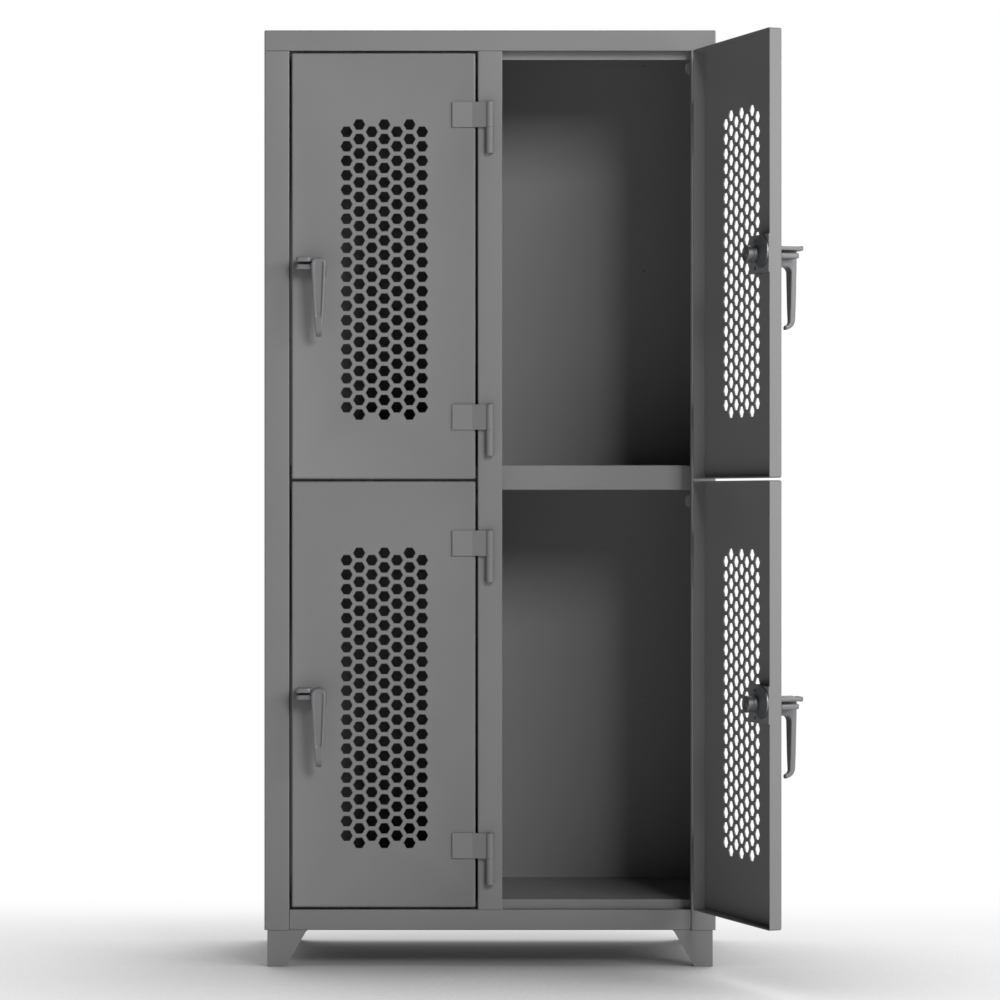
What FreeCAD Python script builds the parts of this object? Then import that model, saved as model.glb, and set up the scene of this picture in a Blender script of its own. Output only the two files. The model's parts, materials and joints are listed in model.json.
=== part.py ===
import FreeCAD, Part
import math
import os
import re
import Sketcher

# A two-column, two-tier welded steel locker cabinet, in millimetres.
# The origin is the middle of the cabinet's footprint on the floor: +X to the right, +Y to the back, +Z up.
# The two left doors are shut. The two right doors stand open, turned about their hinge pins.

V = FreeCAD.Vector
doc = FreeCAD.newDocument("LockerCabinet")
dims = doc.addObject("Spreadsheet::Sheet", "Dims")

SIZES = [
    ("width", 914.4, "overall width"),
    ("depth", 457.2, "front plane to back plane"),
    ("body_height", 1823.0, "height of the body above its legs"),
    ("leg_height", 74.0, "height of the legs"),
    ("rail", 41.4, "height of the top and bottom rails"),
    ("stile", 50.4, "width of the outer uprights"),
    ("post", 49.6, "width of the middle upright"),
    ("stop_gap", 0.8, "space between a shut door and its stops"),
    ("seam", 0.8, "open seam where two frame members butt"),
    ("frame_sheet", 1.5, "steel of the frame members and the top"),
    ("panel_sheet", 1.2, "steel of the walls, floors and shelves"),
    ("bend", 2.8, "outside radius of the folds"),
    ("floor_rise", 18.2, "floor above the bottom rail, the lower door stop"),
    ("floor_lip", 15.0, "floor lip that laps behind the bottom rail"),
    ("shelf_top", 1016.2, "top face of the shelves above the ground"),
    ("shelf_flange", 50.7, "height of the shelf's front flange"),
    ("return_lip", 12.0, "return fold along the foot of the shelf flange"),
    ("header_drop", 15.6, "door stop below the top rail"),
    ("tab_reach", 9.5, "stop tab past the upright's edge"),
    ("tab_root", 27.0, "height of a stop tab at its root"),
    ("tab_tip", 17.0, "height of a stop tab at its tip"),
    ("tab_below", 4.5, "space above a stop tab"),
    ("open_angle", 110.0, "how far the right doors stand open"),
    ("edge_gap", 4.8, "gap beside a door"),
    ("end_gap", 4.7, "gap above and below a door"),
    ("door_sheet", 2.66, "steel of the door pans"),
    ("door_depth", 26.2, "depth of the door's folded flanges"),
    ("door_bend", 4.0, "outside radius of the door's folds"),
    ("hexagon", 21.4, "vent hole across its flats"),
    ("column_pitch", 25.5, "spacing of the vent columns"),
    ("row_pitch", 29.37, "spacing of the vents in a column"),
    ("side_margin", 100.0, "least plain width beside the vents"),
    ("end_margin", 130.0, "least plain height above and below the vents"),
    ("vent_drop", 7.2, "vent field below the door's middle"),
    ("vent_shift", 1.7, "vent field off the door's middle, towards the hinges"),
    ("hinge_edge", 29.6, "hinge pin to the door's hinge edge"),
    ("hinge_stand", 8.5, "hinge pin in front of the door's face"),
    ("hinge_inset", 125.3, "strap middle to the door's end"),
    ("strap_reach", 76.4, "hinge pin to the strap's free end"),
    ("strap_sheet", 4.0, "thickness of the strap"),
    ("strap_height", 51.0, "height of a strap and its knuckle"),
    ("strap_fold", 36.0, "hinge pin to the strap's fold"),
    ("strap_meet", 18.0, "where the strap meets its knuckle, in degrees in front of the pin"),
    ("knuckle_r", 8.0, "outside radius of the knuckles"),
    ("frame_knuckle", 52.5, "height of the welded lower knuckle"),
    ("knuckle_gap", 0.5, "space between the two knuckles"),
    ("weld_pad", 8.0, "width of the foot that joins a knuckle to its upright"),
    ("pin_r", 4.0, "radius of the hinge pin"),
    ("pin_fit", 0.05, "radial running clearance on pins and spindles"),
    ("spindle_inset", 57.0, "handle spindle to the door's free edge"),
    ("spindle_r", 6.0, "radius of the handle spindle"),
    ("boss_r", 15.0, "radius of the handle's round boss"),
    ("boss_seat", 12.0, "depth of the spindle's seat past the boss's back face"),
    ("bush_flange_r", 14.0, "radius of the bush's outer flange"),
    ("bush_flange", 2.0, "thickness of the bush's outer flange"),
    ("bush_r", 9.0, "radius of the bush's sleeve"),
    ("bush_nut", 26.0, "bush nut across its flats"),
    ("bush_nut_height", 5.0, "thickness of the bush nut"),
    ("slip", 0.3, "axial space between turning faces"),
    ("lever_stand", 51.0, "lever's front face off the door"),
    ("lever_thick", 11.5, "thickness of the lever blade"),
    ("lever_drop", 145.0, "spindle to the lever's tip"),
    ("lever_waist", 20.0, "lever width two thirds of the way down"),
    ("lever_end", 11.0, "lever width at its tip"),
    ("lever_hook_r", 20.0, "outside radius of the hooked tip"),
    ("lever_throat_r", 12.0, "fillet between arm and blade"),
    ("arm_drop", 23.0, "underside of the lever's arm below the spindle"),
    ("lever_round", 1.6, "rounding of the lever's long edges"),
    ("hasp_near", 15.5, "spindle to the near side of the hasp"),
    ("hasp_far", 46.0, "spindle to the far side of the hasp"),
    ("hasp_reach", 52.0, "fixed hasp off the door"),
    ("hasp_low", 5.5, "underside of the fixed hasp above the spindle"),
    ("hasp_thick", 9.5, "thickness of the fixed hasp"),
    ("hasp_round", 7.0, "corner radius of the hasp plates"),
    ("tongue_reach", 43.0, "handle's own hasp tongue off the door"),
    ("tongue_top", 1.0, "top of the tongue above the spindle"),
    ("tongue_thick", 10.0, "thickness of the tongue"),
    ("padlock_r", 5.0, "radius of the padlock hole"),
    ("padlock_out", 33.0, "padlock hole off the door"),
    ("latch_width", 93.0, "width of the latch plate"),
    ("latch_height", 73.0, "height of the latch plate"),
    ("latch_sheet", 2.0, "thickness of the latch plate"),
    ("latch_hole", 0.5, "radial space around the spindle in the latch plate"),
    ("rod_hole_r", 4.5, "radius of the latch plate's two rod holes"),
    ("rod_hole_x", 8.5, "rod holes from the spindle, towards the hinges"),
    ("rod_hole_z", 26.0, "rod holes above and below the spindle"),
    ("cam_r", 31.5, "radius of the latch cam"),
    ("cam_throw", 26.0, "cam centre from the spindle, towards the door's free edge"),
    ("cam_lift", 4.0, "cam centre above the spindle"),
    ("cam_thick", 3.0, "thickness of the cam"),
    ("cam_space", 0.5, "space between latch plate and cam"),
    ("hub_r", 16.5, "radius of the cam's hub nut"),
    ("hub_height", 21.0, "height of the cam's hub nut"),
    ("leg_inset", 6.0, "legs in from the sides and back"),
    ("leg_setback", 2.0, "front legs behind the front plane"),
    ("leg_top", 80.0, "width of a leg at its top"),
    ("leg_foot", 37.0, "width of a leg at its foot"),
    ("leg_sheet", 2.5, "steel of the legs"),
]
for row, (alias, number, note) in enumerate(SIZES, start=1):
    dims.set(f"A{row}", note)
    dims.set(f"B{row}", str(number))
    dims.setAlias(f"B{row}", alias)
# Frame members and door stops are as deep as the shut door needs.
dims.set(f"B{len(SIZES) + 1}", "=door_depth + stop_gap")
dims.setAlias(f"B{len(SIZES) + 1}", "channel")
doc.recompute()
ALIASES = {alias for alias, number, note in SIZES} | {"channel"}

# Places and sizes that several pieces share, worked out from the sheet.
OPENING = "((width - 2 * stile - post) / 2)"
DOOR_W = f"({OPENING} - 2 * edge_gap)"
DOOR_H = "((body_height - 2 * rail - 3 * end_gap) / 2)"
FRONT = "(0 - depth / 2)"
TOP = "(leg_height + body_height)"
RAIL_TOP = "(leg_height + rail)"
HEAD = f"({TOP} - rail)"
WALL_X = "(width / 2 - frame_sheet)"
BACK_Y = "(depth / 2 - frame_sheet)"
ROOM_X = f"({WALL_X} - panel_sheet)"
ROOM_BACK = f"({BACK_Y} - panel_sheet)"
STOP_Y = f"({FRONT} + channel)"
HINGE_X = {
    "left": "(hinge_edge - edge_gap - post / 2)",
    "right": "(width / 2 - stile - edge_gap + hinge_edge)",
}
HINGE_Y = f"({FRONT} - hinge_stand)"
DOOR_Z = {
    "lower": f"({RAIL_TOP} + end_gap + {DOOR_H} / 2)",
    "upper": f"({HEAD} - end_gap - {DOOR_H} / 2)",
}
TURN = {"left": "0", "right": "open_angle"}
DOORS = [(tier, side) for side in ("left", "right") for tier in ("upper", "lower")]
SPINDLE_X = f"(spindle_inset - hinge_edge - {DOOR_W})"
STRAP_Z = f"({DOOR_H} / 2 - hinge_inset)"

nodes = {}


def size(alias):
    return float(dims.get(alias))


def bound(text):
    """The text with every size's name turned into a reference to its cell."""
    return re.sub(r"[a-z_]+", lambda m: f"Dims.{m[0]}" if m[0] in ALIASES else m[0], text)


def place(item, x="0", y="0", z="0", turn="0"):
    for axis, text in zip("xyz", (x, y, z)):
        item.setExpression(f"Placement.Base.{axis}", bound(text))
    if turn != "0":
        item.setExpression("Placement.Rotation.Angle", bound(turn))
    return item


def node(name, item):
    """Name a finished sub-part after its file."""
    item.Label = name
    nodes[name] = item
    return item


def block(name, x, y, z):
    """A box between a low and a high expression along each axis."""
    item = doc.addObject("Part::Box", name)
    for side, (low, high) in zip(("Length", "Width", "Height"), (x, y, z)):
        item.setExpression(side, bound(f"({high}) - ({low})"))
    return place(item, x[0], y[0], z[0])


def rod(name, radius, length, x="0", y="0", z="0", along_y=False):
    """A round bar that stands along +Z, or lies along +Y."""
    item = doc.addObject("Part::Cylinder", name)
    item.setExpression("Radius", bound(radius))
    item.setExpression("Height", bound(length))
    if along_y:
        item.Placement = FreeCAD.Placement(V(), FreeCAD.Rotation(V(1, 0, 0), -90))
    return place(item, x, y, z)


def joined(name, *items):
    item = doc.addObject("Part::MultiFuse", name)
    item.Shapes = list(items)
    return item


def cut(name, base, *tools):
    item = doc.addObject("Part::Cut", name)
    item.Base = base
    item.Tool = tools[0] if len(tools) == 1 else group(name + "_tools", *tools)
    return item


def group(name, *items):
    item = doc.addObject("Part::Compound", name)
    item.Links = list(items)
    return item


def outline(body, plane, points):
    """A closed sketch of straight sides on one of the body's origin planes, each corner bound to the sheet."""
    sketch = body.newObject("Sketcher::SketchObject", body.Name + "_sketch")
    flat = next(f for f in body.Origin.OriginFeatures if f.Role == plane)
    sketch.AttachmentSupport = [(flat, "")]
    sketch.MapMode = "FlatFace"
    count = len(points)
    start = [V(100 * math.cos(6.28 * k / count), 100 * math.sin(6.28 * k / count), 0) for k in range(count)]
    for k in range(count):
        sketch.addGeometry(Part.LineSegment(start[k], start[(k + 1) % count]), False)
    for k in range(count):
        sketch.addConstraint(Sketcher.Constraint("Coincident", k, 2, (k + 1) % count, 1))
    for k, corner in enumerate(points):
        for kind, number, text in zip(("DistanceX", "DistanceY"), start[k], corner):
            index = sketch.addConstraint(Sketcher.Constraint(kind, -1, 1, k, 1, number))
            sketch.setExpression(f"Constraints[{index}]", bound(text))
    return sketch


def ring(body, plane, x, y, radius):
    """A sketch of one circle on one of the body's origin planes."""
    sketch = body.newObject("Sketcher::SketchObject", body.Name + "_circle")
    flat = next(f for f in body.Origin.OriginFeatures if f.Role == plane)
    sketch.AttachmentSupport = [(flat, "")]
    sketch.MapMode = "FlatFace"
    sketch.addGeometry(Part.Circle(V(10, 10, 0), V(0, 0, 1), 5), False)
    rules = (("DistanceX", (-1, 1, 0, 3, 10), x), ("DistanceY", (-1, 1, 0, 3, 10), y), ("Radius", (0, 5), radius))
    for kind, places, text in rules:
        index = sketch.addConstraint(Sketcher.Constraint(kind, *places))
        sketch.setExpression(f"Constraints[{index}]", bound(text))
    return sketch


def pad(body, sketch, length):
    item = body.newObject("PartDesign::Pad", body.Name + "_pad")
    item.Profile = sketch
    item.setExpression("Length", bound(length))
    return item


def pocket(body, sketch, length):
    """Cut forward from the sketch, the way a pad on it would grow."""
    item = body.newObject("PartDesign::Pocket", body.Name + "_pocket")
    item.Profile = sketch
    item.Reversed = True
    item.setExpression("Length", bound(length))
    return item


def rounded(body, radius, chosen):
    """Round the edges of the body's last feature that the test picks."""
    doc.recompute()
    base = body.Tip
    names = [f"Edge{k}" for k, edge in enumerate(base.Shape.Edges, start=1) if chosen(edge)]
    item = body.newObject("PartDesign::Fillet", body.Name + "_fillet")
    item.Base = (base, names)
    item.setExpression("Radius", bound(radius))
    return item


def profile(name, plane, points, length, **spot):
    """A body that pads one outline, placed by the expressions in spot."""
    body = doc.addObject("PartDesign::Body", name)
    pad(body, outline(body, plane, points), length)
    place(body, **spot)
    return body


def rectangle(x0, x1, y0, y1):
    return [(x0, y0), (x1, y0), (x1, y1), (x0, y1)]


def along(direction, *corners):
    """A test for edges that run in one direction through one of the corners, given in the other two axes."""
    def chosen(edge):
        a, b = edge.Vertexes[0].Point, edge.Vertexes[-1].Point
        run = (b - a)
        others = [k for k in range(3) if k != direction]
        if abs(run[others[0]]) + abs(run[others[1]]) > 1e-6:
            return False
        return any(math.dist((a[others[0]], a[others[1]]), corner) < 1e-4 for corner in corners)
    return chosen


# Frame: folded channels, open to the back.

def upright(name, face, x, z, height):
    points = [("0", "0"), (face, "0"), (face, "channel"), (f"{face} - frame_sheet", "channel")]
    points += [(f"{face} - frame_sheet", "frame_sheet"), ("frame_sheet", "frame_sheet")]
    points += [("frame_sheet", "channel"), ("0", "channel")]
    body = profile(name, "XY_Plane", points, height, x=x, y=FRONT, z=z)
    rounded(body, "bend", along(2, (0, 0), (size(face), 0)))
    return node(name, body)


upright("left_stile", "stile", "0 - width / 2", "leg_height", "body_height - rail - seam")
upright("right_stile", "stile", "width / 2 - stile", "leg_height", "body_height - rail - seam")
upright("center_post", "post", "0 - post / 2", RAIL_TOP, "body_height - 2 * rail - seam")

rail_points = [("0", "0"), ("channel", "0"), ("channel", "frame_sheet"), ("frame_sheet", "frame_sheet")]
rail_points += [("frame_sheet", "rail - frame_sheet"), ("channel", "rail - frame_sheet")]
rail_points += [("channel", "rail"), ("0", "rail")]
bottom_rail = profile("bottom_rail", "YZ_Plane", rail_points, "width - 2 * stile - 2 * seam",
                      x="stile + seam - width / 2", y=FRONT, z="leg_height")
rounded(bottom_rail, "bend", along(0, (0, 0), (0, size("rail"))))
node("bottom_rail", bottom_rail)


def pan(name, plane, x0, x1, y0, y1, height, sheet, fold):
    """A folded tray: a padded rectangle with rounded folds, hollowed from the sketch's side."""
    body = doc.addObject("PartDesign::Body", name)
    pad(body, outline(body, plane, rectangle(x0, x1, y0, y1)), height)
    deep = 2 if plane == "XY_Plane" else 1
    rounded(body, fold, lambda edge: max(abs(v.Point[deep]) for v in edge.Vertexes) > 1e-6)
    inner = rectangle(f"{x0} + {sheet}", f"{x1} - {sheet}", f"{y0} + {sheet}", f"{y1} - {sheet}")
    pocket(body, outline(body, plane, inner), f"{height} - {sheet}")
    return body


top_cap = pan("top_cap", "XY_Plane", "0 - width / 2", "width / 2", "0 - depth / 2", "depth / 2", "rail", "frame_sheet",
              "bend")
node("top_cap", place(top_cap, z=HEAD))

# Walls.
wall_z = ("leg_height", f"{TOP} - frame_sheet")
wall_y = (f"{FRONT} + frame_sheet", BACK_Y)
node("left_side_panel", block("left_side_panel", (f"0 - {WALL_X}", f"0 - {ROOM_X}"), wall_y, wall_z))
node("right_side_panel", block("right_side_panel", (ROOM_X, WALL_X), wall_y, wall_z))
node("back_panel", block("back_panel", (f"0 - {ROOM_X}", ROOM_X), (ROOM_BACK, BACK_Y), wall_z))
half_wall = "(panel_sheet / 2)"
node("center_partition", block("center_partition", (f"0 - {half_wall}", half_wall), (STOP_Y, ROOM_BACK), wall_z))

# Floors, shelves and door stops of the two columns.
room_low = {"left": f"0 - {ROOM_X}", "right": half_wall}
opening_low = {"left": "stile - width / 2", "right": "post / 2"}
for side in ("left", "right"):
    room_width = f"{ROOM_X} - {half_wall}"
    reach = f"{ROOM_BACK} - {STOP_Y}"

    lip = "(0 - floor_rise - floor_lip)"
    points = [("0", "0"), ("0", lip), ("panel_sheet", lip), ("panel_sheet", "0 - panel_sheet")]
    points += [(reach, "0 - panel_sheet"), (reach, "0")]
    floor = profile(f"{side}_floor", "YZ_Plane", points, room_width,
                    x=room_low[side], y=STOP_Y, z=f"{RAIL_TOP} + floor_rise")
    rounded(floor, "bend", along(0, (0, 0)))
    node(f"{side}_floor", floor)

    points = [("0", "0"), ("0", "0 - shelf_flange"), ("return_lip", "0 - shelf_flange")]
    points += [("return_lip", "panel_sheet - shelf_flange"), ("panel_sheet", "panel_sheet - shelf_flange")]
    points += [("panel_sheet", "0 - panel_sheet"), (reach, "0 - panel_sheet"), (reach, "0")]
    shelf = profile(f"{side}_shelf", "YZ_Plane", points, room_width,
                    x=room_low[side], y=STOP_Y, z="shelf_top")
    rounded(shelf, "bend", along(0, (0, 0), (0, -size("shelf_flange"))))
    node(f"{side}_shelf", shelf)

    points = [("frame_sheet", "0"), ("channel", "0"), ("channel", "0 - header_drop")]
    points += [("channel + frame_sheet", "0 - header_drop"), ("channel + frame_sheet", "frame_sheet")]
    points += [("frame_sheet", "frame_sheet")]
    header = profile(f"{side}_header_stop", "YZ_Plane", points, OPENING,
                     x=opening_low[side], y=FRONT, z=HEAD)
    node(f"{side}_header_stop", header)

# Stop tabs, one beside the hinges under each header stop and shelf.
tabs = []
tab_points = [("0", "0"), ("0", "0 - tab_root"), ("0 - tab_reach", "(0 - tab_root - tab_tip) / 2")]
tab_points += [("0 - tab_reach", "(tab_tip - tab_root) / 2")]
for side, edge in (("left", "0 - post / 2"), ("right", "width / 2 - stile")):
    for top in (f"{HEAD} - header_drop - tab_below", "shelf_top - shelf_flange - 2 * tab_below"):
        tab = profile(f"tab_{len(tabs)}", "XZ_Plane", tab_points, "frame_sheet",
                      x=edge, y=f"{STOP_Y} + frame_sheet", z=top)
        root = block(f"tab_root_{len(tabs)}", (edge, f"{edge} + tab_reach"), (STOP_Y, f"{STOP_Y} + frame_sheet"),
                     (f"{top} - tab_root", top))
        tabs.append(joined(f"stop_tab_{len(tabs)}", tab, root))
node("stop_tabs", group("stop_tabs", *tabs))

# Legs: a folded corner plate with a foot pad and a top plate.
leg_outline = [("0", "0"), ("leg_foot", "0"), ("leg_top", "leg_height"), ("0", "leg_height")]
leg_front = profile("leg_front", "XZ_Plane", leg_outline, "leg_sheet", y="leg_sheet")
leg_side = profile("leg_side", "YZ_Plane", leg_outline, "leg_sheet")
foot_pad = block("foot_pad", ("0", "leg_foot"), ("0", "leg_foot"), ("0", "leg_sheet"))
top_plate = block("leg_top_plate", ("0", "leg_top"), ("0", "leg_top"), ("leg_height - leg_sheet", "leg_height"))
leg = joined("leg", leg_front, leg_side, foot_pad, top_plate)
LEGS = [
    ("front_left_leg", "leg_inset - width / 2", f"{FRONT} + leg_setback", "0"),
    ("front_right_leg", "width / 2 - leg_inset", f"{FRONT} + leg_setback", "90"),
    ("back_right_leg", "width / 2 - leg_inset", "depth / 2 - leg_inset", "180"),
    ("back_left_leg", "leg_inset - width / 2", "depth / 2 - leg_inset", "270"),
]
for name, x, y, turn in LEGS:
    node(name, place(group(name, leg), x, y, "0", turn))

# Hinges: a welded lower knuckle and a pin on the frame, a strap with its rolled knuckle on the door.
low_knuckle = "(0 - strap_height / 2 - knuckle_gap - frame_knuckle)"
knuckle = rod("knuckle", "knuckle_r", "frame_knuckle", z=low_knuckle)
weld_foot = block("weld_foot", ("0 - weld_pad / 2", "weld_pad / 2"), ("0", "hinge_stand"),
                  (low_knuckle, f"{low_knuckle} + frame_knuckle"))
knuckle_bore = rod("knuckle_bore", "pin_r", "frame_knuckle", z=low_knuckle)
frame_knuckle = cut("frame_knuckle", joined("knuckle_and_foot", knuckle, weld_foot), knuckle_bore)
pin = rod("pin", "pin_r", "frame_knuckle + knuckle_gap + strap_height", z=low_knuckle)
knuckles = []
pins = []
for tier, side in DOORS:
    for spot in (STRAP_Z, f"(0 - {STRAP_Z})"):
        for store, piece in ((knuckles, frame_knuckle), (pins, pin)):
            copy = group(f"{piece.Name}_{len(store)}", piece)
            store.append(place(copy, HINGE_X[side], HINGE_Y, f"{DOOR_Z[tier]} + {spot}"))
node("frame_knuckles", group("frame_knuckles", *knuckles))
node("hinge_pins", group("hinge_pins", *pins))

# Door pieces are modelled about the hinge pin at the door's middle height, with the door shut.
blade_top = "(hinge_stand - strap_sheet)"
meet_x, meet_y = "(0 - knuckle_r * cos(strap_meet))", "(0 - knuckle_r * sin(strap_meet))"
strap_points = [("0 - strap_reach", "hinge_stand"), ("0 - strap_reach", blade_top), ("0 - strap_fold", blade_top)]
strap_points += [(meet_x, meet_y), (meet_x, f"{meet_y} + strap_sheet"), ("0 - strap_fold", "hinge_stand")]
leaf = profile("strap_leaf", "XY_Plane", strap_points, "strap_height", z="0 - strap_height / 2")
roll = rod("strap_roll", "knuckle_r", "strap_height", z="0 - strap_height / 2")
strap_bore = rod("strap_bore", "pin_r + pin_fit", "strap_height", z="0 - strap_height / 2")
strap = cut("strap", joined("leaf_and_roll", leaf, roll), strap_bore)
straps = group("straps", place(group("high_strap", strap), z=STRAP_Z),
               place(group("low_strap", strap), z=f"0 - {STRAP_Z}"))

# Door pan: flanges folded to the back, a field of hexagonal vents and the bush hole.
free_x = f"(0 - hinge_edge - {DOOR_W})"
door = pan("door_pan", "XZ_Plane", free_x, "(0 - hinge_edge)", f"(0 - {DOOR_H} / 2)", f"({DOOR_H} / 2)",
           "door_depth", "door_sheet", "door_bend")
place(door, y="hinge_stand + door_depth")
columns = f"(floor(({DOOR_W} - 2 * side_margin) / column_pitch) + 1)"
rows = f"(floor(({DOOR_H} - 2 * end_margin) / row_pitch) + 1)"
half = "(hexagon / 2)"
corner = "(hexagon / sqrt(3))"


def origin_axis(body, role):
    return next(f for f in body.Origin.OriginFeatures if f.Role == role)


def vents(first_column, column_count, row_count):
    """Every second column of vents, as one punched hexagon repeated across and down."""
    x = f"(vent_shift - hinge_edge - {DOOR_W} / 2 + ({first_column} - ({columns} - 1) / 2) * column_pitch)"
    z = f"(0 - vent_drop - ({row_count} - 1) / 2 * row_pitch)"
    points = [(f"{x} + {corner}", z), (f"{x} + {corner} / 2", f"{z} + {half}")]
    points += [(f"{x} - {corner} / 2", f"{z} + {half}"), (f"{x} - {corner}", z)]
    points += [(f"{x} - {corner} / 2", f"{z} - {half}"), (f"{x} + {corner} / 2", f"{z} - {half}")]
    hole = pocket(door, outline(door, "XZ_Plane", points), "door_depth + door_sheet")
    doc.recompute()
    many = door.newObject("PartDesign::MultiTransform", "vents")
    many.Originals = [hole]
    steps = []
    for axis, count, pitch in (("X_Axis", column_count, "2 * column_pitch"), ("Z_Axis", row_count, "row_pitch")):
        step = door.newObject("PartDesign::LinearPattern", "vent_step")
        step.Direction = (origin_axis(door, axis), [""])
        step.Mode = "Spacing"
        step.setExpression("Offset", bound(pitch))
        step.setExpression("Occurrences", bound(count))
        steps.append(step)
    many.Transformations = steps
    door.Tip = many


vents("0", f"(floor(({columns} + 1) / 2))", f"({rows} - 1)")
vents("1", f"(floor({columns} / 2))", rows)
pocket(door, ring(door, "XZ_Plane", SPINDLE_X, "0", "bush_r"), "door_depth + door_sheet")

# Handle and latch pieces are modelled about the spindle, with y = 0 on the door's front face.

def at_spindle(item):
    return place(item, x=SPINDLE_X, y="hinge_stand")


def plate_with_eye(name, x0, x1, reach, low, thick):
    """A horizontal plate off the door with rounded outer corners and a padlock hole."""
    body = profile(name, "XY_Plane", rectangle(x0, x1, f"0 - {reach}", "0"), thick, z=low)
    tip = -size(reach)
    rounded(body, "hasp_round", along(2, (-size("hasp_far"), tip), (-size("hasp_near"), tip)))
    pocket(body, ring(body, "XY_Plane", "0 - (hasp_near + hasp_far) / 2", "0 - padlock_out", "padlock_r"), thick)
    return body


hasp = group("hasp_plate", plate_with_eye("hasp", "0 - hasp_far", "0 - hasp_near", "hasp_reach", "hasp_low",
                                          "hasp_thick"))
tongue = plate_with_eye("tongue", "0 - hasp_far", "0 - hasp_near", "tongue_reach", "tongue_top - tongue_thick",
                        "tongue_thick")

bush_bore = rod("bush_bore", "spindle_r + pin_fit", "bush_flange + door_sheet + bush_nut_height", y="0 - bush_flange",
                along_y=True)
bush_head = rod("bush_head", "bush_flange_r", "bush_flange", y="0 - bush_flange", along_y=True)
bush_sleeve = rod("bush_sleeve", "bush_r", "door_sheet + bush_nut_height", along_y=True)
bush = cut("bush", joined("bush_blank", bush_head, bush_sleeve), bush_bore)
nut_corners = [(f"bush_nut / sqrt(3) * cos({60 * k})", f"bush_nut / sqrt(3) * sin({60 * k})") for k in range(6)]
nut_blank = profile("bush_nut", "XZ_Plane", nut_corners, "bush_nut_height", y="door_sheet + bush_nut_height")
nut_bore = rod("nut_bore", "bush_r", "bush_nut_height", y="door_sheet", along_y=True)
bush_set = group("bush_set", bush, cut("bush_nut_cut", nut_blank, nut_bore))

plate_x = ("0 - spindle_inset", "latch_width - spindle_inset")
latch_plate = block("latch_plate", plate_x, ("door_depth", "door_depth + latch_sheet"),
                    ("0 - latch_height / 2", "latch_height / 2"))
latch_leg = block("latch_leg", (f"{plate_x[1]} - latch_sheet", plate_x[1]), ("door_sheet", "door_depth"),
                  ("0 - latch_height / 2", "latch_height / 2"))
latch_hole = rod("latch_hole", "spindle_r + latch_hole", "latch_sheet", y="door_depth", along_y=True)
rod_holes = [rod("rod_hole", "rod_hole_r", "latch_sheet", x="rod_hole_x", y="door_depth", z=z, along_y=True)
             for z in ("rod_hole_z", "0 - rod_hole_z")]
housing = cut("housing", joined("housing_blank", latch_plate, latch_leg), latch_hole, *rod_holes)

cam_y = "(door_depth + latch_sheet + cam_space)"
cam_disc = rod("cam_disc", "cam_r", "cam_thick", x="0 - cam_throw", y=cam_y, z="cam_lift", along_y=True)
cam = cut("cam", cam_disc, rod("cam_bore", "spindle_r", "cam_thick", y=cam_y, along_y=True))
hub_y = f"({cam_y} + cam_thick)"
hub = cut("hub", rod("hub_disc", "hub_r", "hub_height", y=hub_y, along_y=True),
          rod("hub_bore", "spindle_r", "boss_seat", y=hub_y, along_y=True))
boss_back = "(0 - bush_flange - slip)"
spindle_front = f"({boss_back} - boss_seat)"
spindle = rod("spindle", "spindle_r", f"{hub_y} + boss_seat - {spindle_front}", y=spindle_front, along_y=True)


def lever_shape():
    """The cast lever: its side outline and its front outline, each drawn through the whole, where they meet."""
    back = -size("bush_flange") - size("slip")
    face = -size("lever_stand")
    inner = face + size("lever_thick")
    boss = size("boss_r")
    hook = size("lever_hook_r")
    turn_z = hook - size("lever_drop")
    throat = size("lever_throat_r")
    arm = -size("arm_drop")
    small = hook - size("lever_thick")
    tip_y = face + hook

    def arc(cy, cz, radius, degrees):
        spots = [math.radians(a) for a in degrees]
        return Part.Arc(*[V(0, cy + radius * math.cos(a), cz + radius * math.sin(a)) for a in spots])

    def line(a, b):
        return Part.LineSegment(V(0, *a), V(0, *b))

    side = [
        line((back, boss), (face, boss)),
        line((face, boss), (face, turn_z)),
        arc(tip_y, turn_z, hook, (180, 225, 270)),
        line((tip_y, turn_z - hook), (tip_y, turn_z - small)),
        arc(tip_y, turn_z, small, (270, 225, 180)),
        line((inner, turn_z), (inner, arm - throat)),
        arc(inner + throat, arm - throat, throat, (180, 135, 90)),
        line((inner + throat, arm), (back, arm)),
        line((back, arm), (back, boss)),
    ]
    side_face = Part.Face(Part.Wire([edge.toShape() for edge in side]))
    side_face.translate(V(-boss, 0, 0))
    side_solid = side_face.extrude(V(2 * boss, 0, 0))

    waist_z = -2 / 3 * size("lever_drop")
    halves = [(boss, 0.0), (size("lever_waist") / 2, waist_z), (size("lever_end") / 2, -size("lever_drop"))]
    right = [V(x, face, z) for x, z in halves]
    left = [V(-x, face, z) for x, z in reversed(halves)]
    edges = [Part.LineSegment(a, b).toShape() for a, b in zip(right + left[:-1], right[1:] + left)]
    edges.append(Part.Arc(left[-1], V(0, face, boss), right[0]).toShape())
    front_solid = Part.Face(Part.Wire(edges)).extrude(V(0, back - face, 0))

    whole = side_solid.common(front_solid).removeSplitter()
    rim = [edge for edge in whole.Edges if all(v.Y < face + 1e-4 for v in edge.Vertexes)
           and not (edge.BoundBox.ZLength < 1e-6 and edge.BoundBox.XLength > 1e-6)]
    rimmed = whole.makeFillet(size("lever_round"), rim)
    seat = Part.makeCylinder(size("spindle_r"), size("boss_seat"), V(0, back, 0), V(0, -1, 0))
    return rimmed.cut(seat)


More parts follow.
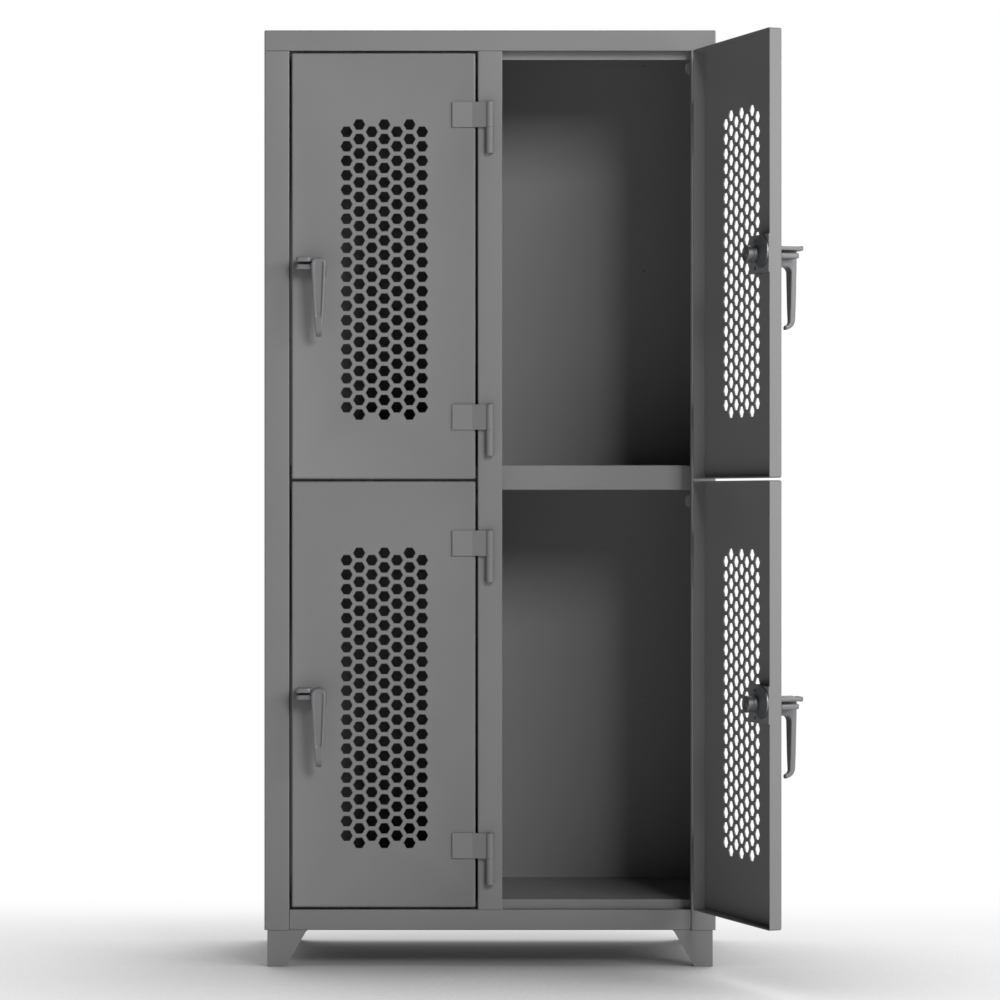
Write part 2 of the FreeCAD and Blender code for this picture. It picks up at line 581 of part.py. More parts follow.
lever_blade = doc.addObject("Part::Feature", "lever_blade")
lever_blade.Shape = lever_shape()
tongue_root = block("tongue_root", ("0 - hasp_near", "0 - spindle_r"),
                    ("0 - tongue_reach", boss_back), ("tongue_top - tongue_thick", "tongue_top"))
tongue_trim = block("tongue_trim", ("0 - hasp_far", "0 - hasp_near"), (boss_back, "0"),
                    ("tongue_top - tongue_thick", "tongue_top"))
seat_again = rod("seat_again", "spindle_r", "boss_seat", y=spindle_front, along_y=True)
lever = cut("lever", joined("lever_blank", lever_blade, cut("tongue_short", tongue, tongue_trim), tongue_root),
            seat_again)

MASTERS = [
    ("door_panel", door),
    ("hinge_straps", straps),
    ("hasp_plate", at_spindle(hasp)),
    ("latch_housing", at_spindle(housing)),
    ("handle_bush", at_spindle(bush_set)),
    ("lever_handle", at_spindle(lever)),
    ("spindle", group("spindle_set", spindle)),
    ("latch_cam", at_spindle(cam)),
    ("cam_hub", at_spindle(hub)),
]
at_spindle(MASTERS[6][1])
for tier, side in DOORS:
    for name, master in MASTERS:
        label = f"{tier}_{side}_{name}"
        node(label, place(group(label, master), HINGE_X[side], HINGE_Y, DOOR_Z[tier], TURN[side]))

doc.recompute()
for item in doc.Objects:
    if "Invalid" in item.State or "Error" in item.State:
        raise RuntimeError(f"{item.Label} failed: {item.State}")
for name, item in nodes.items():
    if item.Shape.isNull() or not item.Shape.isValid() or not item.Shape.Solids:
        raise RuntimeError(f"{name} has no valid solid")
plain_door = size("door_sheet") * door.Shape.BoundBox.XLength * door.Shape.BoundBox.ZLength
if not 0.5 * plain_door < door.Shape.Volume < 1.1 * plain_door:
    raise RuntimeError("the door pan's pocket or vents cut the wrong way")

os.makedirs("parts", exist_ok=True)
for name, item in nodes.items():
    item.Shape.exportStep(f"parts/{name}.step")
print(len(nodes), "nodes,", sum(len(item.Shape.Solids) for item in nodes.values()), "solids")
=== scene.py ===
"""Steel locker cabinet: the finishes, cast levers, turned latch parts and welds, with a studio floor and lights."""

import json
import math

import bmesh
import bpy
from mathutils import Matrix, Vector


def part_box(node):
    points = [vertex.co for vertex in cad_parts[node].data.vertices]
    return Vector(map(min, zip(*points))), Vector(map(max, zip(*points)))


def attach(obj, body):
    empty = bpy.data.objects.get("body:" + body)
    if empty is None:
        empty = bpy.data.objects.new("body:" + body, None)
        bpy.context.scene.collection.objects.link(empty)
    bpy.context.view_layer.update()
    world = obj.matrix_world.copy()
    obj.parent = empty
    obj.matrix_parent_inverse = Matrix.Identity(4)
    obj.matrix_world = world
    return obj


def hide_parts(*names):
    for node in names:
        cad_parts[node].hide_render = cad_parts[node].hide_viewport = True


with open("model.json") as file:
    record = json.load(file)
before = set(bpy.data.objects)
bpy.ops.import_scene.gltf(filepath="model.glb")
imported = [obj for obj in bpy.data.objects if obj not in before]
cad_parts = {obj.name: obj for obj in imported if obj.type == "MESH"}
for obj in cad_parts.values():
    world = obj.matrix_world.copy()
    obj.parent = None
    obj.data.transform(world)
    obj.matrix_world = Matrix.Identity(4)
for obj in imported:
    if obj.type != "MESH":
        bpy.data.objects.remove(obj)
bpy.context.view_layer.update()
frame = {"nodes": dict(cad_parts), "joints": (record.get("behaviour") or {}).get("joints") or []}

MM = 0.001
# Edges of a carried-over mesh closer than this are one edge.
WELD_GAP = 0.01 * MM
# Degrees: above the facets of the round pieces, and for the straps below the slope of their fold.
CREASE, STRAP_CREASE = 32, 13
DOORS = [(tier, side) for side in ("left", "right") for tier in ("upper", "lower")]
JOINTS = {joint["name"]: joint for joint in frame["joints"]}


# Finishes.

def linear(code):
    """An sRGB hex colour as linear red, green, blue and alpha."""
    parts = [int(code[k:k + 2], 16) / 255 for k in (1, 3, 5)]
    return [c / 12.92 if c <= 0.04045 else ((c + 0.055) / 1.055) ** 2.4 for c in parts] + [1.0]


def add(tree, kind, inputs=(), **settings):
    """One node: its settings, then each input as a fixed value or a link from another node's output."""
    node = tree.nodes.new(kind)
    for key, value in settings.items():
        setattr(node, key, value)
    for name, value in dict(inputs).items():
        if isinstance(value, bpy.types.NodeSocket):
            tree.links.new(value, node.inputs[name])
        else:
            node.inputs[name].default_value = value
    return node


def material(name):
    """An empty node material and its tree."""
    made = bpy.data.materials.new(name)
    made.use_nodes = True
    made.node_tree.nodes.clear()
    return made, made.node_tree


def waves(millimetres):
    """Noise scale that gives lumps of about this size, for coordinates in metres."""
    return 1 / (millimetres * MM)


def finish_with(tree, shader):
    """Send a shader to the material's surface."""
    add(tree, "ShaderNodeOutputMaterial", {"Surface": shader.outputs[0]})


def powder_coat(name, thick, thin, gloss_low, gloss_high, peel):
    """Baked polyester powder on folded sheet steel: an even satin grey that breaks up into a fine orange peel,
    pulls a shade lighter where it runs thin over the folds, and lies in broad, faint clouds of film thickness."""
    made, tree = material(name)
    place = add(tree, "ShaderNodeTexCoord").outputs["Object"]
    clouds = add(tree, "ShaderNodeTexNoise", {"Vector": place, "Scale": waves(140), "Detail": 3.0,
                                              "Roughness": 0.55})
    # Orange peel is 1 to 2 mm across on a real coat. It is drawn at 2.5 mm so that it still shows.
    peel_noise = add(tree, "ShaderNodeTexNoise", {"Vector": place, "Scale": waves(2.5), "Detail": 1.5,
                                                  "Roughness": 0.45})
    sheet_noise = add(tree, "ShaderNodeTexNoise", {"Vector": place, "Scale": waves(260), "Detail": 1.0})
    # The folds and sheared edges are rounded by about 0.7 mm of steel and film.
    soft = add(tree, "ShaderNodeBevel", {"Radius": 0.7 * MM}, samples=4)
    flat = add(tree, "ShaderNodeNewGeometry")
    facing = add(tree, "ShaderNodeVectorMath", {0: soft.outputs[0], 1: flat.outputs["Normal"]},
                 operation="DOT_PRODUCT")
    edge = add(tree, "ShaderNodeMapRange", {"Value": facing.outputs["Value"], "From Min": 0.995, "From Max": 0.80,
                                            "To Min": 0.0, "To Max": 1.0})
    film = add(tree, "ShaderNodeMath", {0: edge.outputs[0], 1: clouds.outputs["Fac"]}, operation="MULTIPLY")
    tone = add(tree, "ShaderNodeMapRange", {"Value": clouds.outputs["Fac"], "From Min": 0.3, "From Max": 0.7,
                                            "To Min": 0.0, "To Max": 0.35})
    blend = add(tree, "ShaderNodeMath", {0: tone.outputs[0], 1: film.outputs[0]}, operation="ADD", use_clamp=True)
    colour = add(tree, "ShaderNodeMix", {"Factor": blend.outputs[0]}, data_type="RGBA")
    colour.inputs["A"].default_value = linear(thick)
    colour.inputs["B"].default_value = linear(thin)
    rough = add(tree, "ShaderNodeMapRange", {"Value": clouds.outputs["Fac"], "From Min": 0.3, "From Max": 0.7,
                                             "To Min": gloss_low, "To Max": gloss_high})
    sheet = add(tree, "ShaderNodeBump", {"Height": sheet_noise.outputs["Fac"], "Normal": soft.outputs[0],
                                         "Strength": 0.35, "Distance": 1.2 * MM})
    bump = add(tree, "ShaderNodeBump", {"Height": peel_noise.outputs["Fac"], "Normal": sheet.outputs[0],
                                        "Strength": peel, "Distance": 0.05 * MM})
    shader = add(tree, "ShaderNodeBsdfPrincipled", {"Base Color": colour.outputs["Result"],
                                                    "Roughness": rough.outputs[0], "Normal": bump.outputs[0],
                                                    "IOR": 1.5})
    finish_with(tree, shader)
    return made


def cast_paint(name, thick, thin):
    """Stoved enamel over a zinc casting: a little glossier than the cabinet, over slow casting lumps, with a painted
    highlight that lightens its eased edges and raised rims in patches."""
    made, tree = material(name)
    place = add(tree, "ShaderNodeTexCoord").outputs["Object"]
    lumps = add(tree, "ShaderNodeTexNoise", {"Vector": place, "Scale": waves(7), "Detail": 2.0})
    # Sand grain of the mould, about 0.8 mm.
    grain = add(tree, "ShaderNodeTexNoise", {"Vector": place, "Scale": waves(0.8), "Detail": 1.0})
    soft = add(tree, "ShaderNodeBevel", {"Radius": 0.5 * MM}, samples=4)
    flat = add(tree, "ShaderNodeNewGeometry")
    facing = add(tree, "ShaderNodeVectorMath", {0: soft.outputs[0], 1: flat.outputs["Normal"]},
                 operation="DOT_PRODUCT")
    edge = add(tree, "ShaderNodeMapRange", {"Value": facing.outputs["Value"], "From Min": 0.99, "From Max": 0.75,
                                            "To Min": 0.0, "To Max": 0.8})
    # Painted highlight: the colour turns lighter along every eased edge and raised rim, in patches with the lumps.
    painted_rim_highlight = add(tree, "ShaderNodeMath", {0: edge.outputs[0], 1: lumps.outputs["Fac"]}, operation="MULTIPLY")
    colour = add(tree, "ShaderNodeMix", {"Factor": painted_rim_highlight.outputs[0]}, data_type="RGBA")
    colour.inputs["A"].default_value = linear(thick)
    colour.inputs["B"].default_value = linear(thin)
    rough = add(tree, "ShaderNodeMapRange", {"Value": lumps.outputs["Fac"], "From Min": 0.3, "From Max": 0.7,
                                             "To Min": 0.34, "To Max": 0.48})
    slow = add(tree, "ShaderNodeBump", {"Height": lumps.outputs["Fac"], "Normal": soft.outputs[0],
                                        "Strength": 0.5, "Distance": 0.35 * MM})
    bump = add(tree, "ShaderNodeBump", {"Height": grain.outputs["Fac"], "Normal": slow.outputs[0],
                                        "Strength": 0.3, "Distance": 0.05 * MM})
    shader = add(tree, "ShaderNodeBsdfPrincipled", {"Base Color": colour.outputs["Result"],
                                                    "Roughness": rough.outputs[0], "Normal": bump.outputs[0],
                                                    "IOR": 1.5})
    finish_with(tree, shader)
    return made


def zinc_plate(name, bright, cloudy, turned, gloss_low, gloss_high):
    """Zinc plated steel with a clear passivate: a soft grey metal that clouds over in patches, with the fine rings
    that the lathe left where the piece was turned."""
    made, tree = material(name)
    place = add(tree, "ShaderNodeTexCoord").outputs["Object"]
    clouds = add(tree, "ShaderNodeTexNoise", {"Vector": place, "Scale": waves(9), "Detail": 4.0,
                                              "Roughness": 0.6})
    # Tool marks are about 0.2 mm apart. They are drawn at 0.7 mm so that they still show.
    rings = add(tree, "ShaderNodeTexNoise", {"Vector": place, "Scale": waves(0.7), "Detail": 2.0})
    colour = add(tree, "ShaderNodeMix", {"Factor": clouds.outputs["Fac"]}, data_type="RGBA")
    colour.inputs["A"].default_value = linear(bright)
    colour.inputs["B"].default_value = linear(cloudy)
    rough = add(tree, "ShaderNodeMapRange", {"Value": clouds.outputs["Fac"], "From Min": 0.3, "From Max": 0.7,
                                             "To Min": gloss_low, "To Max": gloss_high})
    soft = add(tree, "ShaderNodeBevel", {"Radius": 0.35 * MM}, samples=4)
    bump = add(tree, "ShaderNodeBump", {"Height": rings.outputs["Fac"], "Normal": soft.outputs[0],
                                        "Strength": turned, "Distance": 0.04 * MM})
    shader = add(tree, "ShaderNodeBsdfPrincipled", {"Base Color": colour.outputs["Result"], "Metallic": 1.0,
                                                    "Roughness": rough.outputs[0], "Normal": bump.outputs[0]})
    finish_with(tree, shader)
    return made


OUTSIDE = powder_coat("satin_powder_coat", "#737374", "#7c7c7d", 0.54, 0.64, 0.35)
INSIDE = powder_coat("thin_powder_coat_inside", "#737374", "#7b7b7c", 0.52, 0.62, 0.45)
# The second colour is the painted highlight on the casting's edges and rims.
CASTING = cast_paint("stoved_enamel_on_casting", "#6d6d6f", "#88888a")
ZINC = zinc_plate("clear_zinc_plate", "#9b9ea2", "#83827e", 0.3, 0.34, 0.52)
# A duller copy of the zinc for the cam hub and latch cam. Its rougher finish is the parts' own, and its darker
# colour is painted shade for their place inside the door.
ZINC_DARKENED_AS_SHADE = zinc_plate("dull_zinc_darkened_as_painted_shade", "#85878a", "#6f6f6f", 0.5, 0.42, 0.6)

INSIDE_NODES = {"center_partition", "left_floor", "right_floor", "left_shelf", "right_shelf", "left_header_stop",
                "right_header_stop", "stop_tabs"}


def finish_for(node):
    """The finish of a carried-over part, by what the part is."""
    if node in INSIDE_NODES:
        return INSIDE
    if node.endswith(("hinge_pins", "spindle", "handle_bush")):
        return ZINC
    if node.endswith(("lever_handle", "hasp_plate")):
        return CASTING
    # The hub and cam take the zinc that is darkened as painted shade.
    if node.endswith(("cam_hub", "latch_cam")):
        return ZINC_DARKENED_AS_SHADE
    return OUTSIDE


for node, part in frame["nodes"].items():
    part.data.materials.clear()
    part.data.materials.append(finish_for(node))
    part.data.shade_smooth()
    weld = part.modifiers.new("weld", "WELD")
    weld.merge_threshold = WELD_GAP
    smooth = part.modifiers.new("crease", "EDGE_SPLIT")
    smooth.split_angle = math.radians(STRAP_CREASE if node.endswith("hinge_straps") else CREASE)


# Mesh work shared by the pieces. Sizes are in millimetres until a mesh is made.

def outline(corners, inset=0.0, arc_step=10, longest=1e9):
    """A closed outline from corners (a, b, radius): each corner an arc, long straight sides divided evenly, and
    the whole drawn in by an inset. The number of points doesn't depend on the inset."""
    count = len(corners)
    spots = [Vector(corner[:2]) for corner in corners]
    sense = 1 if sum(spots[k - 1].cross(spots[k]) for k in range(count)) > 0 else -1
    arcs = []
    for k, here in enumerate(spots):
        come = (here - spots[k - 1]).normalized()
        leave = (spots[(k + 1) % count] - here).normalized()
        sides = [Vector((-run.y, run.x)) * sense for run in (come, leave)]
        turn = math.atan2(come.cross(leave), come.dot(leave))
        convex = turn * sense > 0
        radius = max(corners[k][2] + (-inset if convex else inset), 0.02)
        corner = here + (sides[0] + sides[1]) * inset / (1 + sides[0].dot(sides[1]))
        start = corner - come * radius * math.tan(abs(turn) / 2)
        centre = start + sides[0] * radius * (1 if convex else -1)
        steps = max(2, round(math.degrees(abs(turn)) / arc_step))
        arcs.append([centre + Matrix.Rotation(turn * n / steps, 2) @ (start - centre) for n in range(steps + 1)])
    out = []
    for k, arc in enumerate(arcs):
        after = arcs[(k + 1) % count][0]
        pieces = max(1, math.ceil((spots[(k + 1) % count] - spots[k]).length / longest))
        out += arc + [arc[-1].lerp(after, n / pieces) for n in range(1, pieces)]
    return out


def piece(name, mesh, body, finish, where=Matrix.Identity(4), crease=35):
    """A finished object from a bmesh in millimetres: placed, finished, and riding on its body."""
    bmesh.ops.recalc_face_normals(mesh, faces=mesh.faces)
    mesh.transform(where @ Matrix.Scale(MM, 4))
    data = bpy.data.meshes.new(name)
    mesh.to_mesh(data)
    mesh.free()
    data.materials.append(finish)
    data.shade_smooth()
    thing = bpy.data.objects.new(name, data)
    bpy.context.scene.collection.objects.link(thing)
    split = thing.modifiers.new("crease", "EDGE_SPLIT")
    split.split_angle = math.radians(crease)
    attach(thing, body)
    return thing


def turned(mesh, profile, axis_at=(0, 0), segments=48, along="y"):
    """A lathe profile of (radius, distance along the axis), spun round; it starts and ends on the axis or closes."""
    rings = []
    for radius, reach in profile:
        ring = []
        for k in range(segments if radius > 1e-6 else 1):
            turn = 2 * math.pi * k / segments
            a, b = axis_at[0] + radius * math.cos(turn), axis_at[1] + radius * math.sin(turn)
            ring.append(mesh.verts.new((a, reach, b) if along == "y" else (a, b, reach)))
        rings.append(ring)
    for low, high in zip(rings, rings[1:]):
        for k in range(segments):
            a, b = low[k % len(low)], low[(k + 1) % len(low)]
            c, d = high[(k + 1) % len(high)], high[k % len(high)]
            corners = list(dict.fromkeys((a, b, c, d)))
            if len(corners) > 2:
                mesh.faces.new(corners)


def punched(mesh, corners, holes, lift, thick, edge):
    """A plate in the XY plane with round holes (x, y, radius), and every edge eased by a small round."""
    levels = [(lift + rise, inset) for inset, rise in ((edge, 0.0), (edge * 0.3, edge * 0.3), (0.0, edge))]
    levels += [(2 * lift + thick - z, inset) for z, inset in reversed(levels)]
    stacks = [[outline(corners, inset) for z, inset in levels]]
    for x, y, radius in holes:
        stacks.append([[Vector((x + (radius + inset) * math.cos(t * math.pi / 16),
                                y + (radius + inset) * math.sin(t * math.pi / 16))) for t in range(32)]
                       for z, inset in levels])
    rims = {0: [], len(levels) - 1: []}
    for stack in stacks:
        rings = [[mesh.verts.new((*spot, z)) for spot in loop] for loop, (z, inset) in zip(stack, levels)]
        count = len(rings[0])
        for low, high in zip(rings, rings[1:]):
            for k in range(count):
                mesh.faces.new((low[k], low[(k + 1) % count], high[(k + 1) % count], high[k]))
        for level, rim in rims.items():
            rim += [mesh.edges.get((rings[level][k - 1], rings[level][k])) for k in range(count)]
    for rim in rims.values():
        bmesh.ops.triangle_fill(mesh, use_beauty=True, edges=rim)


# Where each door's handle sits: y = 0 on the door's face, y out of the door is negative, as on a shut door.

def handle_place(tier, side):
    """Where a door's handle stands and which way it faces, with the door as it hangs at rest."""
    turn = JOINTS[f"{tier}_{side}_handle_turn"]
    out = Vector(turn["axis"])
    swing = math.atan2(out.x, -out.y)
    return Matrix.Translation(Vector(turn["pos_m"])) @ Matrix.Rotation(swing, 4, "Z")


# Lever: one casting of boss, blade, hooked tip and hasp tongue.
# Front of the blade from the door, the blade's thickness, and the tip below the spindle.
STAND = 51.0
BLADE = 11.5
DROP = 145.0
# Radius of the boss, underside of the arm below the spindle, and the boss's back face.
BOSS = 15.0
ARM = 23.0
BACK = -2.3
# Half widths at the waist and the tip, how far the hooked tip turns back, and its height.
WAIST = 10.0
TIP = 5.5
HOOK = 20.5
HOOK_HEIGHT = 7.0
# The hasp plate and the tongue under it: how far they stand to the side of the spindle, and the padlock's hole.
HASP_NEAR, HASP_FAR = 15.5, 46.0
PADLOCK_EYE = (-(HASP_NEAR + HASP_FAR) / 2, -33.0, 5.0)
# How deep the front of the blade is dished, and how far its long edges are eased.
DISH = 2.6
EASE = 2.4


def half_width(z):
    """Half the lever's width at a height: the round top, the taper to the waist, and the narrow tip."""
    if z > 0:
        return math.sqrt(max(BOSS ** 2 - z ** 2, 4.0))
    waist = -2 / 3 * DROP
    if z > waist:
        return BOSS + (WAIST - BOSS) * z / waist
    return WAIST + (TIP - WAIST) * (z - waist) / (-DROP - waist)


def smooth_step(low, high, value):
    """0 below low, 1 above high, and an even S curve between."""
    t = min(max((value - low) / (high - low), 0.0), 1.0)
    return t * t * (3 - 2 * t)


LEVER_SIDE = [(BACK, BOSS, 0.6), (-STAND, BOSS, 6.0), (-STAND, -DROP, 20.0), (-STAND + HOOK, -DROP, 2.6),
              (-STAND + HOOK, -DROP + HOOK_HEIGHT, 2.4), (-STAND + BLADE, -DROP + BLADE, 8.5),
              (-STAND + BLADE, -ARM, 12.0), (BACK, -ARM, 0.6)]


def lever_mesh():
    """The side outline lofted across the lever's width, its long edges eased, its front face dished between two
    raised rims, and the hasp tongue grown out of its boss."""
    eased = [math.radians(t) for t in (0, 22, 45, 68, 90)]
    stations = [(1.0, EASE * (1 - math.cos(t)), EASE * (1 - math.sin(t))) for t in eased]
    stations += [(share, None, 0.0) for share in (0.84, 0.72, 0.6, 0.3)]
    columns = [(-share, pull, inset) for share, pull, inset in stations] + [(0.0, None, 0.0)] + stations[::-1]
    mesh = bmesh.new()
    grid = []
    for share, pull, inset in columns:
        ring = []
        for y, z in outline(LEVER_SIDE, inset, 9, 4.0):
            width = half_width(z)
            x = share * (width - EASE) if pull is None else math.copysign(max(width - pull, 0.2), share)
            front = 1 - smooth_step(0.6, 2.0, y + STAND)
            inner = 1 - smooth_step(0.6, 0.84, abs(share)) if pull is None else 0.0
            length = smooth_step(-106, -98, z) * (1 - smooth_step(3, 8, z))
            ring.append(mesh.verts.new((x, y + DISH * front * inner * length, z)))
        grid.append(ring)
    count = len(grid[0])
    for low, high in zip(grid, grid[1:]):
        for k in range(count):
            mesh.faces.new((low[k], low[(k + 1) % count], high[(k + 1) % count], high[k]))
    for ring in (grid[0][::-1], grid[-1]):
        rim = [mesh.edges.get((ring[k - 1], ring[k])) for k in range(count)]
        bmesh.ops.triangle_fill(mesh, use_beauty=True, edges=rim)
    tongue = [(-HASP_FAR, -43.0, 7.0), (-6.0, -43.0, 2.0), (-6.0, BACK - 1.0, 1.0), (-HASP_NEAR, BACK - 1.0, 4.0),
              (-HASP_FAR, BACK - 0.5, 3.0)]
    punched(mesh, tongue, [PADLOCK_EYE], -9.0, 10.0, 2.0)
    return mesh


def hasp_mesh():
    """The fixed hasp: a cast plate with a padlock eye and a thicker lip along its outer edge."""
    mesh = bmesh.new()
    plate = [(-HASP_FAR, -51.0, 7.0), (-HASP_NEAR, -51.0, 7.0), (-HASP_NEAR, -0.1, 1.0), (-HASP_FAR, -0.1, 1.0)]
    punched(mesh, plate, [PADLOCK_EYE], 6.0, 8.2, 2.4)
    lip = [(-HASP_FAR, -52.0, 7.1), (-HASP_NEAR, -52.0, 7.1), (-HASP_NEAR, -43.6, 1.0), (-HASP_FAR, -43.6, 1.0)]
    punched(mesh, lip, [], 5.5, 9.5, 2.4)
    return mesh


def rivet(mesh, x, y, z, radius, height, towards=(0, -1, 0)):
    """A domed rivet head standing on a face."""
    out = Vector(towards)
    turn = Vector((0, 0, 1)).rotation_difference(out).to_matrix()
    foot = Vector((x, y, z))
    around = 24
    rings = []
    for climb in (0, 18, 36, 54, 72, 90):
        reach = radius * math.cos(math.radians(climb))
        rise = height * math.sin(math.radians(climb))
        if climb == 90:
            rings.append([mesh.verts.new(foot + turn @ Vector((0, 0, rise)))])
            continue
        spots = [Vector((reach * math.cos(k * math.pi / 12), reach * math.sin(k * math.pi / 12), rise))
                 for k in range(around)]
        rings.append([mesh.verts.new(foot + turn @ spot) for spot in spots])
    for low, high in zip(rings, rings[1:]):
        for k in range(around):
            corners = (low[k], low[(k + 1) % around], high[(k + 1) % len(high)], high[k % len(high)])
            mesh.faces.new(list(dict.fromkeys(corners)))


def weld_bead(mesh, start, end, size, ripple=3.2):
    """A hand welded fillet: a low bead whose ripples lap over each other along its run."""
    start, end = Vector(start), Vector(end)
    run = end - start
    length = run.length
    forward = run.normalized()
    side = forward.cross(Vector((0, 1, 0)))
    side = side.normalized() if side.length > 0.1 else Vector((1, 0, 0))
    up = side.cross(forward)
    around = 10
    rings = []
    steps = max(6, int(length / 0.8))
    for n in range(steps + 1):
        t = n / steps
        swell = 0.86 + 0.14 * abs(math.sin(math.pi * t * length / ripple)) ** 0.5
        close = min(1.0, 5 * t + 0.25, 5 * (1 - t) + 0.25)
        centre = start + run * t
        ring = []
        for k in range(around):
            a = 2 * math.pi * k / around
            ring.append(mesh.verts.new(centre + (side * math.cos(a) + up * math.sin(a)) * size * swell * close))
        rings.append(ring)
    for low, high in zip(rings, rings[1:]):
        for k in range(around):
            mesh.faces.new((low[k], low[(k + 1) % around], high[(k + 1) % around], high[k]))
    mesh.faces.new(rings[0][::-1])
    mesh.faces.new(rings[-1])


# Hub nut: its face from the spindle's origin, and its length.
HUB_FACE, HUB_LENGTH = 31.7, 21.0
HUB_BACK = HUB_FACE + HUB_LENGTH
HUB_PROFILE = [(0, HUB_FACE), (15.2, HUB_FACE), (16.4, HUB_FACE + 1.2), (16.4, HUB_FACE + 8.0),
               (15.7, HUB_FACE + 8.5), (15.7, HUB_FACE + 9.5), (16.4, HUB_FACE + 10.0), (16.4, HUB_BACK - 1.8),
               (14.8, HUB_BACK - 0.2), (9.2, HUB_BACK - 0.2), (8.6, HUB_BACK - 1.4), (6.6, HUB_BACK - 1.4),
               (6.2, HUB_BACK - 0.4), (4.8, HUB_BACK - 0.05), (0, HUB_BACK - 0.4)]

for tier, side in DOORS:
    where = handle_place(tier, side)
    door, handle = f"{tier}_{side}_door", f"{tier}_{side}_handle"

    lever = piece(f"{tier}_{side}_cast_lever", lever_mesh(), handle, CASTING, where)
    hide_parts(f"{tier}_{side}_lever_handle")

    hasp = piece(f"{tier}_{side}_hasp", hasp_mesh(), door, CASTING, where)
    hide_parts(f"{tier}_{side}_hasp_plate")

    # Hub nut behind the cam: a turned barrel with a chamfered rim, a groove, and the spindle end peened over.
    mesh = bmesh.new()
    turned(mesh, HUB_PROFILE)
    # The hub's zinc is darkened as painted shade.
    hub = piece(f"{tier}_{side}_turned_hub", mesh, handle, ZINC_DARKENED_AS_SHADE, where)
    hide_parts(f"{tier}_{side}_cam_hub")

# Rivets that hold the stiffeners behind the back wall, and the clip rivets just above each floor.
STIFFENER_X = 329
STIFFENER_HEIGHTS = (1877, 1437, 522, 177, 141)
SMALL_RIVETS = ((248, 840), (382, 859))
wall_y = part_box("back_panel")[0].y / MM
mesh = bmesh.new()
for z in STIFFENER_HEIGHTS:
    for x in (-STIFFENER_X, STIFFENER_X):
        rivet(mesh, x, wall_y, z, 3.4, 1.5)
for x, z in SMALL_RIVETS:
    for mirror in (-1, 1):
        rivet(mesh, mirror * x, wall_y, z, 2.6, 1.0)
piece("back_wall_rivets", mesh, "cabinet", INSIDE)

# Each hinge: its pin's axis, and the top and bottom of its strap.
STRAP = 51.0
HINGES = []
for tier, side in DOORS:
    hinge = Vector(JOINTS[f"{tier}_{side}_hinge"]["pos_m"]) / MM
    low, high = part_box(f"{tier}_{side}_hinge_straps")
    HINGES += [(hinge, top, top - STRAP) for top in (high.z / MM, low.z / MM + STRAP)]

# Hinge pins: a peened head over each strap.
mesh = bmesh.new()
for hinge, top, bottom in HINGES:
    turned(mesh, [(3.9, top - 0.5), (5.6, top + 0.05), (5.9, top + 0.5), (5.3, top + 1.4), (3.4, top + 2.1),
                  (0, top + 2.4)], (hinge.x, hinge.y), 32, "z")
piece("hinge_pin_heads", mesh, "cabinet", OUTSIDE)

# Fillet welds down both sides of each fixed knuckle's foot.
FOOT_HALF = 4.0
FACE_BEHIND = 8.2
mesh = bmesh.new()
for hinge, top, bottom in HINGES:
    y = hinge.y + FACE_BEHIND
    for x in (hinge.x - FOOT_HALF, hinge.x + FOOT_HALF):
        weld_bead(mesh, (x, y, bottom - 3.0), (x, y, bottom - STRAP), 1.7)
piece("knuckle_welds", mesh, "cabinet", OUTSIDE, crease=60)


# Studio.

def floor_finish():
    """A pale seamless sweep with a faint frosted grain that glows. The glow is painted shadow: ambient occlusion
    dims it where the cabinet stands close over it. Its matt face takes the lamps' soft shadows, and far behind it
    runs out into plain white."""
    made, tree = material("pale_floor_with_painted_shadow")
    place = add(tree, "ShaderNodeTexCoord").outputs["Object"]
    depth = add(tree, "ShaderNodeSeparateXYZ", {0: place}).outputs["Y"]
    fade = add(tree, "ShaderNodeMapRange", {"Value": depth, "From Min": 0.25, "From Max": 1.1},
               interpolation_type="SMOOTHERSTEP")
    frost = add(tree, "ShaderNodeTexNoise", {"Vector": place, "Scale": waves(3), "Detail": 3.0})
    bump = add(tree, "ShaderNodeBump", {"Height": frost.outputs["Fac"], "Strength": 0.1, "Distance": 0.1 * MM})
    matt = add(tree, "ShaderNodeBsdfPrincipled", {"Base Color": linear("#f0f0f0"), "Roughness": 0.8,
                                                  "Normal": bump.outputs[0]})
    # Painted shadow: how open the floor is within 0.9 m, counted a little towards the back and the right, so that
    # the glow drops more in front of the cabinet and on its left.
    painted_shadow_lean = add(tree, "ShaderNodeCombineXYZ", {"X": 0.12, "Y": 0.5, "Z": 0.86})
    painted_contact_shadow = add(tree, "ShaderNodeAmbientOcclusion", {"Distance": 0.9, "Normal": painted_shadow_lean.outputs[0]}, samples=8)
    # The glow's strength is the painted shadow: it falls away under and around the cabinet.
    glow = add(tree, "ShaderNodeMath", {0: painted_contact_shadow.outputs["AO"], 1: 1.8}, operation="POWER")
    lit = add(tree, "ShaderNodeEmission", {"Color": (1, 1, 1, 1), "Strength": glow.outputs[0]})
    near = add(tree, "ShaderNodeMixShader", {0: 0.72, 1: matt.outputs[0], 2: lit.outputs[0]})
    white = add(tree, "ShaderNodeEmission", {"Color": (1, 1, 1, 1), "Strength": 1.0})
    mix = add(tree, "ShaderNodeMixShader", {0: fade.outputs[0], 1: near.outputs[0], 2: white.outputs[0]})
    finish_with(tree, mix)
    return made


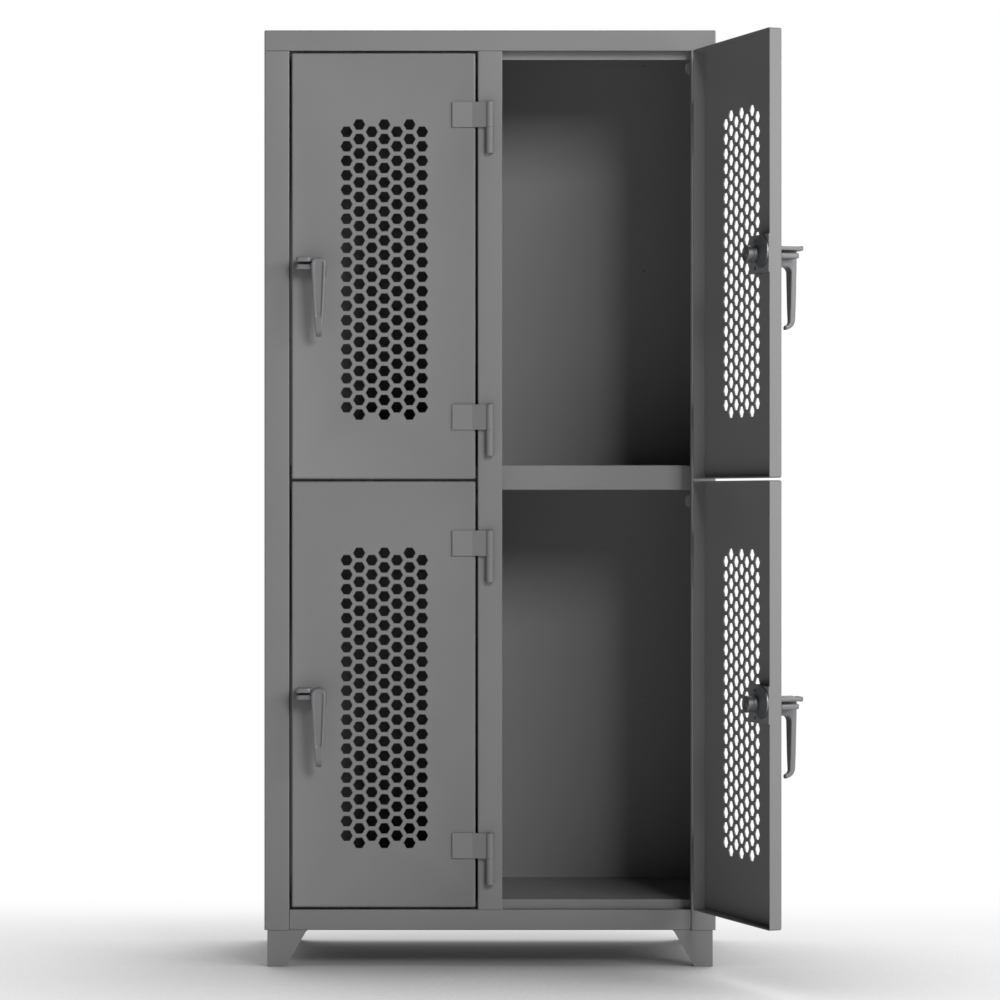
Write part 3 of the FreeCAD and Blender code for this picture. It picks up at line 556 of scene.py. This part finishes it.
def lamp(name, place, aim, width, height, power):
    """A rectangular softbox that faces its aim; sizes in metres, power in watts."""
    data = bpy.data.lights.new(name, "AREA")
    data.shape = "RECTANGLE"
    data.size, data.size_y = width, height
    data.energy = power
    thing = bpy.data.objects.new(name, data)
    thing.location = place
    thing.rotation_euler = (Vector(aim) - Vector(place)).to_track_quat("-Z", "Y").to_euler()
    bpy.context.scene.collection.objects.link(thing)


FLOOR_HALF = 30
# What the main softboxes face, in metres.
MIDDLE = (0.1, 0, 0.95)
mesh = bmesh.new()
bmesh.ops.create_grid(mesh, x_segments=8, y_segments=8, size=FLOOR_HALF)
sweep = bpy.data.meshes.new("floor")
mesh.to_mesh(sweep)
mesh.free()
sweep.materials.append(floor_finish())
floor = bpy.data.objects.new("floor", sweep)
bpy.context.scene.collection.objects.link(floor)

lamp("key_softbox", (2.3, -5.2, 3.4), MIDDLE, 1.6, 1.8, 184)
lamp("side_softbox", (4.6, -2.9, 2.6), MIDDLE, 1.6, 1.8, 122)
lamp("low_side_card", (3.6, -4.2, 1.3), MIDDLE, 1.6, 1.8, 35)
lamp("low_front_card", (0.8, -6.5, 0.7), (0.1, 0, 0.8), 2.4, 0.8, 8)
lamp("back_softbox", (0.6, 2.6, 4.2), (0, 0, 1.2), 2.4, 1.6, 110)

world = bpy.data.worlds.new("studio")
bpy.context.scene.world = world
world.use_nodes = True
tree = world.node_tree
tree.nodes.clear()
path = add(tree, "ShaderNodeLightPath")
# The room's own light on the cabinet is faint; the camera sees plain white.
grey = add(tree, "ShaderNodeBackground", {"Color": (1, 1, 1, 1), "Strength": 0.04})
white = add(tree, "ShaderNodeBackground", {"Color": (1, 1, 1, 1), "Strength": 1.0})
mix = add(tree, "ShaderNodeMixShader", {0: path.outputs["Is Camera Ray"], 1: grey.outputs[0],
                                        2: white.outputs[0]})
add(tree, "ShaderNodeOutputWorld", {"Surface": mix.outputs[0]})

bpy.context.scene.view_settings.view_transform = "Standard"

camera_data = bpy.data.cameras.new("camera")
camera_data.sensor_width = 36.0
camera_data.lens = 128.85
camera = bpy.data.objects.new("camera", camera_data)
camera.location = (0.0202, -7.4786, 0.9453)
camera.rotation_euler = (math.radians(90), 0, 0)
bpy.context.scene.collection.objects.link(camera)
bpy.context.scene.camera = camera
